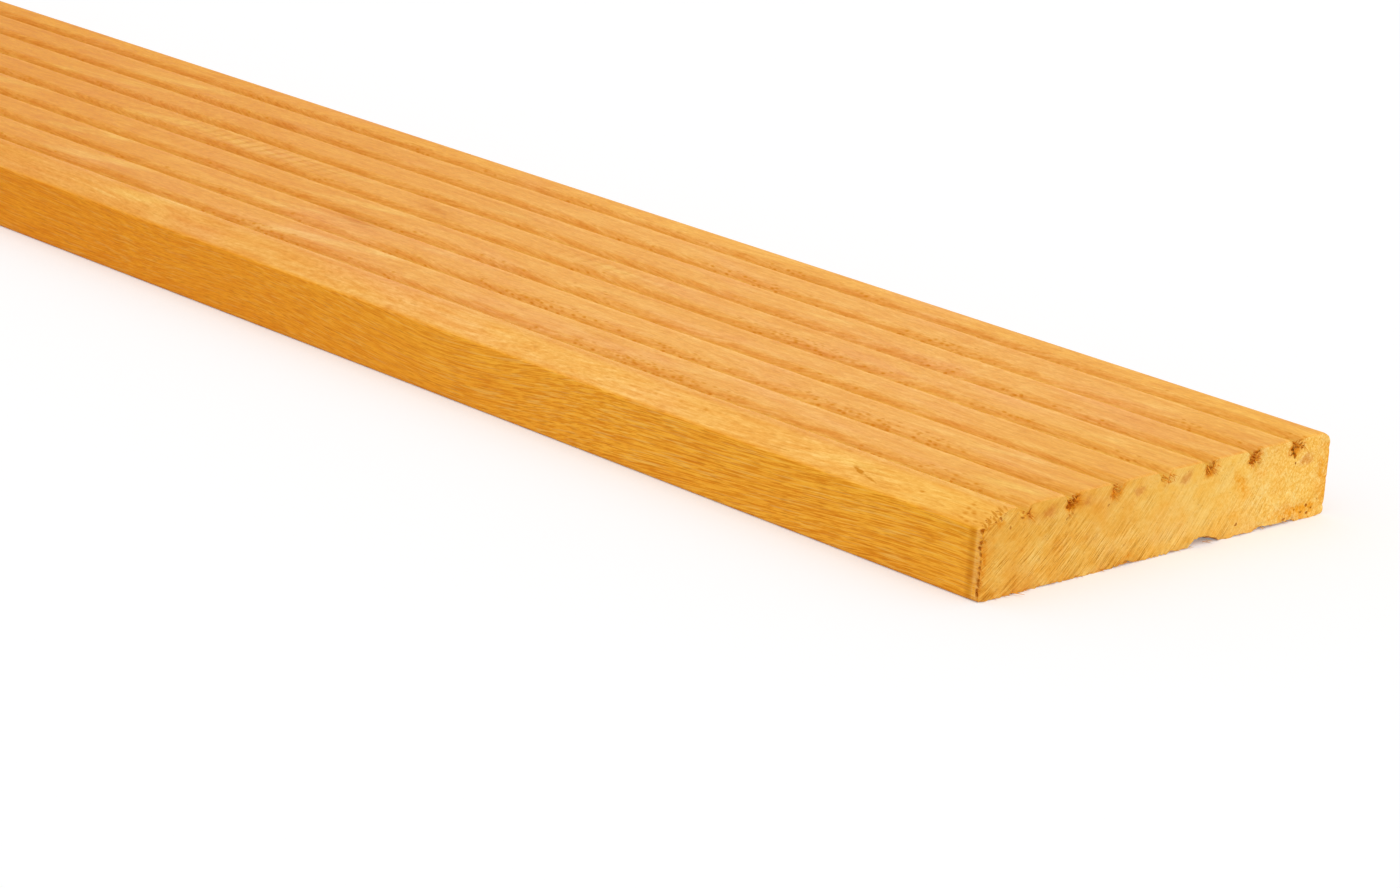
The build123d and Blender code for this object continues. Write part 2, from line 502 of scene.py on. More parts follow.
def layBakeMap(mesh, plain, around, girth, stations, faces, faceKinds):
    margin, band = bakeLayout["margin"], bakeLayout["endBand"]
    half = plankLength / 2
    stretch = bakeLayout["endStretch"] * bakeLayout["stretchReach"]

    def along(distance):
        # distance along a half, with more room by the sawn end
        return distance + stretch * (1 - math.exp(-distance / bakeLayout["stretchReach"]))

    full = along(half)
    under = plankWidth * bakeLayout["underShare"]
    stripHeight = (1 - band) / 2
    perMm = (stripHeight - 3 * margin) / (girth + under)
    places = []
    for face, (kind, i) in zip(faces, faceKinds):
        if kind == "end":
            left = margin if i == 0 else 0.5 + margin
            for v in face:
                u = left + (plain[v, 1] / plankWidth + 0.5) * (0.5 - 2 * margin)
                places += [u, margin + plain[v, 2] / plankHeight * (band - 2 * margin)]
            continue
        second = stations[i] >= half - 1e-6
        base = band + (stripHeight if second else 0) + margin
        for v in face:
            distance = plankLength - plain[v, 0] if second else plain[v, 0]
            u = margin + along(distance) / full * (1 - 2 * margin)
            if kind == "under":
                height = (plain[v, 1] + plankWidth / 2) * bakeLayout["underShare"]
            else:
                height = under + margin / perMm + around[v]
            places += [u, base + height * perMm]
    layer = mesh.uv_layers.new(name="OFBake")
    layer.data.foreach_set("uv", places)


# node helpers

def addNode(tree, kind, **settings):
    node = tree.nodes.new(kind)
    for name, value in settings.items():
        setattr(node, name, value)
    return node


def feed(tree, socket, value):
    if isinstance(value, bpy.types.NodeSocket):
        tree.links.new(value, socket)
    else:
        socket.default_value = value


def calc(tree, operation, first, second=0.0, third=0.0):
    node = addNode(tree, "ShaderNodeMath", operation=operation)
    for socket, value in zip(node.inputs, (first, second, third)):
        feed(tree, socket, value)
    return node.outputs[0]


def times(tree, first, second):
    return calc(tree, "MULTIPLY", first, second)


def larger(tree, first, second):
    return calc(tree, "MAXIMUM", first, second)


def graded(tree, value, slope, base):
    # slope times the value, plus base
    return calc(tree, "MULTIPLY_ADD", value, slope, base)


def centred(tree, value):
    # noise moved so that it swings about zero
    return calc(tree, "SUBTRACT", value, 0.5)


def stacked(tree, height, masks, rises):
    # adds each mask to the height by its own rise
    for name, mask in masks.items():
        height = graded(tree, mask, rises[name], height)
    return height


def vectorCalc(tree, operation, first, second):
    node = addNode(tree, "ShaderNodeVectorMath", operation=operation)
    feed(tree, node.inputs[0], first)
    feed(tree, node.inputs["Scale" if operation == "SCALE" else 1], second)
    return node.outputs[0]


def spread(tree, vector, scales):
    return vectorCalc(tree, "MULTIPLY", vector, scales)


def shifted(tree, vector, offset):
    return vectorCalc(tree, "ADD", vector, offset)


def turned(tree, vector, turn):
    node = addNode(tree, "ShaderNodeVectorRotate", rotation_type="EULER_XYZ", invert=True)
    feed(tree, node.inputs["Vector"], vector)
    feed(tree, node.inputs["Rotation"], turn)
    return node.outputs[0]


def lengthOf(tree, vector):
    node = addNode(tree, "ShaderNodeVectorMath", operation="LENGTH")
    feed(tree, node.inputs[0], vector)
    return node.outputs["Value"]


def splitAxes(tree, vector):
    node = addNode(tree, "ShaderNodeSeparateXYZ")
    feed(tree, node.inputs[0], vector)
    return node.outputs


def cloud(tree, vector, scales, shift=(0.0, 0.0, 0.0), detail=2.0, roughness=0.5, output="Fac"):
    # noise, with scales as its lumps per metre along each axis
    if any(shift):
        vector = shifted(tree, vector, shift)
    node = addNode(tree, "ShaderNodeTexNoise")
    feed(tree, node.inputs["Vector"], spread(tree, vector, scales))
    node.inputs["Scale"].default_value = 1.0
    node.inputs["Detail"].default_value = detail
    node.inputs["Roughness"].default_value = roughness
    return node.outputs[output]


def clouds(tree, vector, settings):
    return {name: cloud(tree, vector, **how) for name, how in settings.items()}


def cellDots(tree, vector, outer, inner):
    # round spots at scattered places, and a random number for each
    cells = addNode(tree, "ShaderNodeTexVoronoi")
    feed(tree, cells.inputs["Vector"], vector)
    cells.inputs["Scale"].default_value = 1.0
    split = addNode(tree, "ShaderNodeSeparateColor")
    feed(tree, split.inputs[0], cells.outputs["Color"])
    return ramp(tree, cells.outputs["Distance"], outer, inner), split.outputs[0]


def ramp(tree, value, low, high, toLow=0.0, toHigh=1.0):
    node = addNode(tree, "ShaderNodeMapRange", interpolation_type="SMOOTHSTEP")
    labels = ("Value", "From Min", "From Max", "To Min", "To Max")
    for label, given in zip(labels, (value, low, high, toLow, toHigh)):
        feed(tree, node.inputs[label], given)
    return node.outputs["Result"]


def blendColour(tree, amount, first, second, way="MIX"):
    node = addNode(tree, "ShaderNodeMix", data_type="RGBA", blend_type=way)
    firstSocket, secondSocket = [s for s in node.inputs if s.type == "RGBA"]
    feed(tree, node.inputs[0], amount)
    feed(tree, firstSocket, first)
    feed(tree, secondSocket, second)
    return next(s for s in node.outputs if s.type == "RGBA")


def tinted(tree, colour, amount, tint):
    # colour times tint, as far as amount says
    return blendColour(tree, amount, colour, tint, "MULTIPLY")


def brighten(tree, colour, amount):
    return vectorCalc(tree, "SCALE", colour, amount)


def deepened(tree, colour, power):
    node = addNode(tree, "ShaderNodeGamma")
    feed(tree, node.inputs["Color"], colour)
    feed(tree, node.inputs["Gamma"], power)
    return node.outputs[0]


def newGroup(name, inputs, outputs):
    group = bpy.data.node_groups.new(name, "ShaderNodeTree")
    kinds = {"vector": "NodeSocketVector", "value": "NodeSocketFloat", "colour": "NodeSocketColor"}
    for way, sockets in (("INPUT", inputs), ("OUTPUT", outputs)):
        for label, kind in sockets.items():
            group.interface.new_socket(name=label, in_out=way, socket_type=kinds[kind])
    return group, group.nodes.new("NodeGroupInput").outputs, group.nodes.new("NodeGroupOutput").inputs


def useGroup(tree, group, **values):
    node = addNode(tree, "ShaderNodeGroup", node_tree=group)
    for label, value in values.items():
        feed(tree, node.inputs[label], value)
    return node.outputs


def emptyTree(owner):
    owner.use_nodes = True
    owner.node_tree.nodes.clear()
    return owner.node_tree


def mark(tree, name):
    return addNode(tree, "ShaderNodeAttribute", attribute_name=name).outputs["Fac"]


# shader groups shared by the planed faces, the sawn ends and the torn fibres

woodFigure = {
    "clouds": {
        "patch": {"scales": (20.0, 85.0, 85.0), "roughness": 0.55},
        "slow": {"scales": (6.0, 26.0, 26.0), "shift": (3.1, 1.7, 0.4), "detail": 1.0},
        "flush": {"scales": (17.0, 62.0, 62.0), "shift": (7.3, 2.2, 5.9)},
        "streak": {"scales": (45.0, 420.0, 900.0), "detail": 3.0, "roughness": 0.6},
        "hair": {"scales": (360.0, 1200.0, 1900.0), "detail": 3.0, "roughness": 0.7},
    },
    "patchShare": 0.6, "slowShare": 0.4, "patchCut": (0.36, 0.64), "flushCut": (0.48, 0.74),
    "evenMix": 0.45,           # share of orange where patches are off
    # broad streaks change depth of colour, the finest ones brightness
    "streakPower": -0.85, "hairPower": -0.6, "streakLevel": 0.18, "hairLevel": 0.36,
}


def makeGrainRun(scales=(5.0, 7.0, 7.0), shares=(0.0, 0.6, 1.0)):
    # bends plain coordinates so that the grain swings a little off the plank's length
    tree, given, gives = newGroup("grainRun", {"Vector": "vector", "Swing": "value"}, {"Vector": "vector"})
    swing = cloud(tree, given["Vector"], scales, detail=1.0, output="Color")
    sway = vectorCalc(tree, "SCALE", shifted(tree, swing, (-0.5, -0.5, -0.5)), given["Swing"])
    feed(tree, gives["Vector"], shifted(tree, given["Vector"], spread(tree, sway, shares)))
    return tree


def makeWoodTone():
    # slow patches of yellow, orange and pink wood with fine streaks along the grain
    figure = woodFigure
    tree, given, gives = newGroup(
        "woodTone",
        {"Vector": "vector", "Yellow": "colour", "Orange": "colour", "Pink": "colour",
         "Patches": "value", "Streaks": "value"},
        {"Color": "colour", "Streak": "value"})
    found = clouds(tree, given["Vector"], figure["clouds"])
    slow = times(tree, found["slow"], figure["slowShare"])
    depth = graded(tree, found["patch"], figure["patchShare"], slow)
    share = calc(tree, "SUBTRACT", ramp(tree, depth, *figure["patchCut"]), figure["evenMix"])
    share = graded(tree, share, given["Patches"], figure["evenMix"])
    tone = blendColour(tree, share, given["Yellow"], given["Orange"])
    share = times(tree, ramp(tree, found["flush"], *figure["flushCut"]), given["Patches"])
    tone = blendColour(tree, share, tone, given["Pink"])
    streak = times(tree, centred(tree, found["streak"]), given["Streaks"])
    hair = times(tree, centred(tree, found["hair"]), given["Streaks"])
    power = graded(tree, streak, figure["streakPower"], graded(tree, hair, figure["hairPower"], 1.0))
    level = graded(tree, streak, figure["streakLevel"], graded(tree, hair, figure["hairLevel"], 1.0))
    feed(tree, gives["Color"], brighten(tree, deepened(tree, tone, power), level))
    feed(tree, gives["Streak"], graded(tree, found["streak"], 0.5, times(tree, found["hair"], 0.5)))
    return tree


def makeCellMarks(name, scales, outer, inner, weight, low, high):
    # small hollows at scattered places, thicker where Amount is high
    tree, given, gives = newGroup(name, {"Vector": "vector", "Amount": "value"}, {"Mask": "value"})
    dots, number = cellDots(tree, spread(tree, given["Vector"], scales), outer, inner)
    chosen = ramp(tree, graded(tree, given["Amount"], weight, number), low, high)
    feed(tree, gives["Mask"], times(tree, dots, chosen))
    return tree


def makeDarkNick(raggedness=1.6, raggedScales=(700.0, 1500.0, 1500.0)):
    # one ragged dark nick or crack: Place is its middle, Spread is one over its half sizes
    tree, given, gives = newGroup(
        "darkNick",
        {"Vector": "vector", "Place": "vector", "Spread": "vector", "Turn": "vector"},
        {"Mask": "value"})
    local = turned(tree, vectorCalc(tree, "SUBTRACT", given["Vector"], given["Place"]), given["Turn"])
    reach = lengthOf(tree, spread(tree, local, given["Spread"]))
    ragged = cloud(tree, given["Vector"], raggedScales)
    reach = graded(tree, centred(tree, ragged), raggedness, reach)
    feed(tree, gives["Mask"], ramp(tree, reach, 1.0, 0.5))
    return tree


grainRun = makeGrainRun()
woodTone = makeWoodTone()
# open pores are dashes on a planed face and dots on a sawn end, pits are where the cutter plucked the grain
poreDashes = makeCellMarks(
    "poreDashes", (150.0, 850.0, 1600.0), outer=0.40, inner=0.10, weight=1.0, low=0.85, high=1.15)
tornPits = makeCellMarks(
    "tornPits", (400.0, 720.0, 1100.0), outer=0.58, inner=0.10, weight=1.15, low=0.95, high=1.25)
darkNick = makeDarkNick()
print("wood groups built")


def newMaterial(name):
    material = bpy.data.materials.new(name)
    tree = emptyTree(material)
    surface = tree.nodes.new("ShaderNodeBsdfPrincipled")
    output = tree.nodes.new("ShaderNodeOutputMaterial")
    tree.links.new(surface.outputs[0], output.inputs["Surface"])
    place = tree.nodes.new("ShaderNodeTexCoord").outputs["Object"]
    return material, tree, surface, place


def woodColours(tree, look, vector, patches, streaks):
    return useGroup(tree, woodTone, Vector=vector, Yellow=look["yellow"], Orange=look["orange"],
                    Pink=look["pink"], Patches=patches, Streaks=streaks)


def finishSurface(tree, surface, look, colour, texture, height):
    # the texture sets the roughness, the height the fine relief
    feed(tree, surface.inputs["Base Color"], colour)
    feed(tree, surface.inputs["Roughness"], ramp(tree, texture, 0.35, 0.65, *look["roughness"]))
    surface.inputs["Specular IOR Level"].default_value = look["specular"]
    bump = addNode(tree, "ShaderNodeBump")
    bump.inputs["Strength"].default_value = 1.0
    bump.inputs["Distance"].default_value = look["relief"]
    feed(tree, bump.inputs["Height"], height)
    feed(tree, surface.inputs["Normal"], bump.outputs[0])


def nickMask(tree, place, nicks, turnAxis):
    # all the nicks of a list: distance, across, up, half sizes the same way, turn in degrees, strength
    total = 0.0
    for distance, across, up, *halfSizes, turn, strength in nicks:
        middle = (plankHigh.x - distance * mm, across * mm, plankLow.z + up * mm)
        turns = [math.radians(turn) if axis == turnAxis else 0.0 for axis in "XYZ"]
        one = useGroup(tree, darkNick, Vector=place, Place=middle, Turn=turns,
                       Spread=[1 / (half * mm) for half in halfSizes])["Mask"]
        total = larger(tree, total, times(tree, one, strength))
    return total


planedFinish = {
    "yellow": (0.904, 0.446, 0.104, 1), "orange": (0.868, 0.402, 0.085, 1), "pink": (0.884, 0.410, 0.119, 1),
    "roughness": (0.48, 0.64), "specular": 0.05, "relief": 0.00016, "swing": 0.05,
    # what the long edges add, and the value on the face
    "patches": (-0.73, 0.85), "streaks": (-0.28, 0.88),
    "poreAmount": (0.25, 0.35), "poreShare": (0.20, 0.28),
    # tints by the mark that they follow
    "tints": {
        # the tint along the length is partly deeper tone, partly painted shade where the light falls off
        # away from the seen end
        "lengthToneAndShade": (0.90, 0.77, 0.52, 1), "endTone": (0.985, 0.985, 0.80, 1),
        # the groove wall tint is painted light: walls and floors lighter and less red than their shade
        "farLand": (1.03, 1.05, 0.89, 1), "grooveWallLight": (1.023, 1.36, 1.22, 1),
        # the lip tint is a painted highlight along the land shoulders
        "lipHighlight": (1.08, 1.14, 1.22, 1),
    },
    "flameTint": (1.05, 1.23, 1.46, 1), "flameCut": (0.12, 0.62), "featherCut": (0.34, 0.52),
    # painted light on the bevel, brighter than the lands
    "bevelLight": (1.10, 1.21, 1.23, 1),
    # the long edges: a deeper orange of their own, brightened by painted light; further along, partly deeper
    # tone and partly painted shade
    "edgeToneAndLight": (1.135, 1.075, 0.385, 1), "edgeFadeToneAndShade": (0.935, 0.830, 0.61, 1),
    # growth lines: how much the far length loses, how strong they are underneath and on bevel and flanks
    "fadeLoss": -0.5, "underLines": 0.7, "softLines": 0.3,
    "lines": [
        {"scales": (80.0, 900.0, 1600.0), "shift": (0.0, 0.0, 0.0), "roughness": 0.6, "cut": (0.52, 0.64),
         "weight": (0.26, 0.10), "colour": (0.80, 0.61, 0.28, 1), "way": "MULTIPLY"},
        {"scales": (95.0, 1600.0, 3000.0), "shift": (0.2, 0.5, 0.9), "roughness": 0.5, "cut": (0.46, 0.57),
         "weight": (0.88, 0.0), "colour": (0.80, 0.61, 0.28, 1), "way": "MULTIPLY"},
        # pale lines: partly pale grain, partly painted glints of sheen
        {"scales": (70.0, 1000.0, 2000.0), "shift": (0.7, 0.3, 0.2), "roughness": 0.5, "cut": (0.52, 0.70),
         "weight": (0.34, 0.08), "colour": (0.97, 0.60, 0.15, 1), "way": "MIX"},
    ],
    "pore": (0.62, 0.21, 0.010, 1), "pit": (0.70, 0.25, 0.010, 1), "pitShare": 0.85,
    "brown": (0.84, 0.66, 0.42, 1), "brownCut": (0.2, 0.5),
    # painted shade in the troughs of the planer ripple
    "rippleShadeTint": (0.90, 0.77, 0.50, 1), "rippleCut": (0.0, 0.9),
    "ripplePitch": 6.0, "rippleHeight": 0.25, "rippleBend": 1.6,
    "band": (0.82, 0.74, 0.52, 1), "rub": (0.93, 0.55, 0.17, 1), "rubCut": (0.32, 0.55), "rubShare": 0.4,
    "crack": (0.64, 0.23, 0.008, 1), "crackShare": 0.9,
    "deep": (0.46, 0.12, 0.002, 1), "deepCut": (0.16, 0.46),
    "grainClouds": {
        "feather": {"scales": (40.0, 260.0, 400.0), "detail": 3.0},
        "smear": {"scales": (120.0, 420.0, 420.0), "detail": 3.0},
    },
    "tearScales": (900.0, 900.0, 900.0), "chipDepth": 2.0,
    "rises": {"streak": 0.5, "pore": -0.3, "pit": -0.08, "crack": -0.12},
    # cracks on the bevel and the lands: distance, across, up, half sizes, turn, strength
    "cracks": [
        (50.5, -68.3, 22.5, 3.8, 0.80, 2.0, -14, 1.0), (45.0, -69.5, 21.8, 3.6, 0.45, 2.0, -11, 0.8),
        (79.5, -70.2, 21.4, 4.4, 0.30, 2.0, 3, 0.55), (71.5, -67.4, 22.9, 2.2, 0.25, 2.0, 4, 0.5),
        (1.9, -69.0, 22.0, 1.9, 0.46, 2.0, -24, 1.0), (2.2, -66.6, 23.4, 2.1, 0.46, 2.0, -22, 0.9),
        (1.4, -70.8, 21.0, 1.6, 0.44, 2.0, -24, 1.0), (1.8, -64.8, 24.2, 1.8, 0.40, 2.0, -20, 0.8),
        (1.2, -67.8, 22.6, 1.6, 0.45, 2.0, -30, 0.9), (1.0, -65.8, 23.7, 1.4, 0.40, 2.0, -28, 0.8),
        (1.3, -63.6, 24.6, 1.6, 0.40, 2.0, -24, 0.7), (0.9, -69.9, 21.4, 1.3, 0.45, 2.0, -30, 0.9),
        (0.4, 40.6, 23.6, 1.3, 0.8, 1.5, 0, 1.0), (0.3, 21.4, 23.8, 1.0, 0.7, 1.2, 0, 0.9),
        (0.3, -35.8, 23.6, 1.0, 0.8, 1.2, 0, 0.8), (0.3, 59.6, 23.8, 1.2, 0.9, 1.2, 0, 0.9),
    ],
}


def planedMaterial():
    look = planedFinish
    material, tree, surface, place = newMaterial("planedWood")
    edge, bevel, fade = (mark(tree, name) for name in ("edgeSide", "bevelSide", "edgeFade"))
    grain = useGroup(tree, grainRun, Vector=place, Swing=look["swing"])["Vector"]
    found = clouds(tree, grain, look["grainClouds"])
    patches, streaks = (graded(tree, edge, *look[name]) for name in ("patches", "streaks"))
    tone = woodColours(tree, look, grain, patches, streaks)
    colour = tone["Color"]
    for name, tint in look["tints"].items():
        colour = tinted(tree, colour, mark(tree, name), tint)
    feather = ramp(tree, found["feather"], *look["featherCut"])
    flame = times(tree, ramp(tree, mark(tree, "paleFlame"), *look["flameCut"]), feather)
    colour = tinted(tree, colour, flame, look["flameTint"])
    # painted light on the bevel
    colour = tinted(tree, colour, bevel, look["bevelLight"])
    # deeper orange and painted light on the long edges
    colour = tinted(tree, colour, edge, look["edgeToneAndLight"])
    # the long edges darker and deeper away from the seen end: partly tone, partly painted shade where the
    # light falls off
    colour = tinted(tree, colour, times(tree, edge, fade), look["edgeFadeToneAndShade"])
    # dark and pale growth lines and open pores, plainest on the long edges; the pale lines are partly grain
    # and partly painted glints of sheen
    lined = times(tree, edge, graded(tree, fade, look["fadeLoss"], 1.0))
    lined = larger(tree, lined, times(tree, mark(tree, "underside"), look["underLines"]))
    lined = larger(tree, lined, times(tree, larger(tree, bevel, mark(tree, "flank")), look["softLines"]))
    for line in look["lines"]:
        drawn = cloud(tree, grain, line["scales"], line["shift"], roughness=line["roughness"])
        share = times(tree, ramp(tree, drawn, *line["cut"]), graded(tree, lined, *line["weight"]))
        colour = blendColour(tree, share, colour, line["colour"], line["way"])
    pores = useGroup(tree, poreDashes, Vector=grain, Amount=graded(tree, edge, *look["poreAmount"]))["Mask"]
    share = times(tree, pores, graded(tree, edge, *look["poreShare"]))
    colour = blendColour(tree, share, colour, look["pore"])
    pits = useGroup(tree, tornPits, Vector=grain, Amount=mark(tree, "tornGrain"))["Mask"]
    colour = blendColour(tree, times(tree, pits, look["pitShare"]), colour, look["pit"])
    brown = times(tree, mark(tree, "brownMark"), ramp(tree, found["smear"], *look["brownCut"]))
    colour = tinted(tree, colour, brown, look["brown"])
    # planer ripple, shown by painted shade in its troughs
    phase = times(tree, splitAxes(tree, place)["X"], 2 * math.pi / (look["ripplePitch"] * mm))
    wave = calc(tree, "SINE", graded(tree, found["smear"], look["rippleBend"], phase))
    rippled = mark(tree, "ripple")
    troughShade = times(tree, ramp(tree, wave, *look["rippleCut"]), rippled)
    colour = tinted(tree, colour, troughShade, look["rippleShadeTint"])
    # the torn and rubbed end
    rough = cloud(tree, place, look["tearScales"], detail=3.0)
    colour = tinted(tree, colour, mark(tree, "endBand"), look["band"])
    rubbed = times(tree, mark(tree, "arrisRub"), ramp(tree, rough, *look["rubCut"]))
    colour = blendColour(tree, times(tree, rubbed, look["rubShare"]), colour, look["rub"])
    cracks = nickMask(tree, place, look["cracks"], "Z")
    colour = blendColour(tree, times(tree, cracks, look["crackShare"]), colour, look["crack"])
    chips = [(d, -plankWidth / 2, up, w, look["chipDepth"], h, 0, s) for d, up, w, h, s in arrisChips]
    hollow = ramp(tree, times(tree, mark(tree, "tornDeep"), rough), *look["deepCut"])
    hollow = larger(tree, hollow, nickMask(tree, place, chips, "Z"))
    colour = blendColour(tree, hollow, colour, look["deep"])
    # fine relief of ripple, streaks, pores, pits and cracks
    wave = times(tree, wave, times(tree, rippled, -look["rippleHeight"]))
    masks = {"streak": tone["Streak"], "pore": pores, "pit": pits, "crack": cracks}
    finishSurface(tree, surface, look, colour, tone["Streak"], stacked(tree, wave, masks, look["rises"]))
    return material


sawnFinish = {
    "yellow": (1.00, 0.622, 0.148, 1), "orange": (0.98, 0.550, 0.112, 1), "pink": (0.99, 0.570, 0.132, 1),
    "roughness": (0.68, 0.85), "specular": 0.05, "relief": 0.00022,
    # the shade colour is painted shade on the end face's near side
    "toneScales": (1.0, 0.6, 0.6), "streaks": 0.45, "shade": (0.864, 0.733, 0.505, 1),
    # saw strokes: arbor of the blade, width and run of a stroke, and where they show
    "bladeCentre": (0.0, -0.183, 0.171), "strokeWidth": 0.00030, "strokeRun": 0.010, "bladeReach": 0.23,
    "strokeTint": (0.935, 0.85, 0.71, 1), "strokeCut": (0.56, 0.70), "strokeBend": 1.6, "strokeLevel": -0.85,
    "patchCut": (0.36, 0.62, 0.45, 1.0), "farStrokes": (0.205, 0.245, 0.92, 0.50),
    "gritShare": (0.195, 0.245, 0.15, 1.15), "gritLevel": -0.45,
    "cloudDepth": 0.60, "depthPower": 1.35,
    "blush": (0.92, 0.50, 0.15, 1), "blushCut": (0.50, 0.72, 0.0, 0.30),
    "pore": (0.62, 0.25, 0.03, 1), "poreScales": (0.3, 0.8, 0.8), "poreAmount": 0.35, "poreShare": 0.28,
    # stains and torn wood
    "mottleCut": (0.30, 0.70, 0.25, 1.5), "flush": (0.93, 0.66, 0.20, 1), "flushCut": (0.04, 1.20),
    "smudge": (0.83, 0.66, 0.62, 1), "smudgeCut": (0.08, 0.80),
    "tornFlush": (0.82, 0.28, 0.007, 1), "tornCut": (0.10, 0.80, 0.0, 0.90), "deep": (0.55, 0.135, 0.002, 1),
    "strandTurn": 24.0, "strandScales": (300.0, 330.0, 1000.0), "strandDetail": 1.5, "tearWeight": 0.55,
    "tearCut": (0.93, 1.10),
    "clouds": {
        "wobble": {"scales": (1.0, 160.0, 160.0)},
        "patch": {"scales": (1.0, 30.0, 70.0), "detail": 1.0},
        "mottle": {"scales": (300.0, 480.0, 480.0), "detail": 4.0, "roughness": 0.7},
        "grit": {"scales": (300.0, 1500.0, 1500.0), "roughness": 0.7},
        "deeper": {"scales": (1.0, 130.0, 170.0), "detail": 3.0, "roughness": 0.6},
        "blush": {"scales": (1.0, 60.0, 110.0), "shift": (0.0, 0.4, 0.7), "detail": 3.0, "roughness": 0.6},
    },
    "rises": {"sweep": 0.6, "stroke": -0.7, "pore": -0.4, "hollow": -2.0},
    # small chips on the end face: across, up, half width, half height, turn, strength
    "nickDepth": 3.0,
    "nicks": [
        (64.8, 3.9, 0.55, 0.40, 0, 0.9), (65.2, 1.7, 0.7, 0.45, 0, 0.9), (33.4, 3.7, 0.7, 0.35, 40, 0.8),
        (57.5, 17.8, 0.4, 0.4, 0, 0.9), (57.2, 20.0, 0.6, 0.9, 0, 1.0), (60.2, 22.2, 0.8, 0.45, 30, 1.0),
        (-62.2, 19.3, 0.45, 0.5, 30, 0.7), (-22.8, 19.0, 0.6, 0.3, 35, 0.6),
        (-39.6, 18.0, 0.5, 0.3, 35, 0.5), (40.2, 23.4, 1.5, 0.35, 38, 1.0),
        (-13.0, 1.0, 1.4, 0.5, 0, 0.6), (-68.6, 22.2, 1.2, 0.3, -35, 0.7),
        (-66.4, 22.6, 1.2, 0.35, -50, 0.8), (62.6, 2.2, 0.5, 0.35, 20, 0.8), (67.0, 2.9, 0.4, 0.3, 0, 0.8),
        (59.6, 3.4, 0.45, 0.3, 0, 0.6), (54.8, 1.4, 0.8, 0.35, 15, 0.7), (69.2, 5.2, 0.35, 0.35, 0, 0.5),
        (-54.9, 22.6, 1.6, 0.30, 45, 0.9), (-57.6, 21.3, 0.9, 0.28, -20, 0.7),
        (-36.2, 22.8, 1.4, 0.32, 48, 1.0), (-38.4, 21.2, 0.9, 0.38, 20, 0.9),
        (21.0, 23.0, 1.3, 0.28, 55, 0.9), (19.0, 21.2, 0.9, 0.32, 10, 0.8),
        (38.6, 21.3, 1.0, 0.45, 30, 1.0), (59.4, 22.8, 1.3, 0.35, 45, 0.9),
    ],
}


def sawnMaterial():
    look = sawnFinish
    material, tree, surface, place = newMaterial("sawnEndGrain")
    found = clouds(tree, place, look["clouds"])
    tone = woodColours(tree, look, spread(tree, place, look["toneScales"]), 1.0, look["streaks"])
    # painted shade: the end face darker towards its near side, in full colour at its far side
    shade = blendColour(tree, mark(tree, "endShade"), look["shade"], (1, 1, 1, 1))
    colour = tinted(tree, tone["Color"], 1.0, shade)
    # blade marks are arcs about the saw's arbor
    away = spread(tree, shifted(tree, place, tuple(-c for c in look["bladeCentre"])), (0.0, 1.0, 1.0))
    axes = splitAxes(tree, away)
    rings = times(tree, lengthOf(tree, away), 1 / look["strokeWidth"])
    angle = calc(tree, "ARCTAN2", axes["Z"], axes["Y"])
    sweep = addNode(tree, "ShaderNodeCombineXYZ")
    feed(tree, sweep.inputs[0], graded(tree, found["wobble"], look["strokeBend"], rings))
    feed(tree, sweep.inputs[1], times(tree, angle, look["bladeReach"] / look["strokeRun"]))
    sweeps = cloud(tree, sweep.outputs[0], (1.0, 1.0, 1.0), detail=3.0, roughness=0.65)
    where = ramp(tree, found["patch"], *look["patchCut"])
    where = times(tree, where, ramp(tree, axes["Y"], *look["farStrokes"]))
    # loose clouds of deeper and of pinker wood under the strokes
    colour = blendColour(tree, ramp(tree, found["blush"], *look["blushCut"]), colour, look["blush"])
    grainy = times(tree, centred(tree, found["grit"]), ramp(tree, axes["Y"], *look["gritShare"]))
    fibre = times(tree, centred(tree, sweeps), where)
    depth = graded(tree, centred(tree, found["deeper"]), look["cloudDepth"], fibre)
    power = graded(tree, calc(tree, "ADD", depth, grainy), look["depthPower"], 1.0)
    level = graded(tree, fibre, look["strokeLevel"], graded(tree, grainy, look["gritLevel"], 1.0))
    colour = brighten(tree, deepened(tree, colour, power), level)
    strokes = times(tree, ramp(tree, sweeps, *look["strokeCut"]), where)
    colour = tinted(tree, colour, strokes, look["strokeTint"])
    finer = spread(tree, place, look["poreScales"])
    dots = useGroup(tree, poreDashes, Vector=finer, Amount=look["poreAmount"])["Mask"]
    colour = blendColour(tree, times(tree, dots, look["poreShare"]), colour, look["pore"])
    # stains, smudges and the torn groove ends
    patchy = ramp(tree, found["mottle"], *look["mottleCut"])
    for name, kind in (("endFlush", "flush"), ("endSmudge", "smudge")):
        share = ramp(tree, times(tree, mark(tree, name), patchy), *look[kind + "Cut"])
        colour = tinted(tree, colour, share, look[kind])
    torn = mark(tree, "tornDeep")
    share = ramp(tree, times(tree, torn, patchy), *look["tornCut"])
    colour = blendColour(tree, share, colour, look["tornFlush"])
    along = turned(tree, place, (math.radians(look["strandTurn"]), 0, 0))
    strands = cloud(tree, along, look["strandScales"], detail=look["strandDetail"])
    tear = ramp(tree, graded(tree, torn, look["tearWeight"], strands), *look["tearCut"])
    nicks = [(0, across, up, look["nickDepth"], *rest) for across, up, *rest in look["nicks"]]
    hollow = larger(tree, tear, nickMask(tree, place, nicks, "X"))
    colour = blendColour(tree, hollow, colour, look["deep"])
    masks = {"sweep": sweeps, "stroke": strokes, "pore": dots, "hollow": hollow}
    finishSurface(tree, surface, look, colour, sweeps, stacked(tree, 0.0, masks, look["rises"]))
    return material


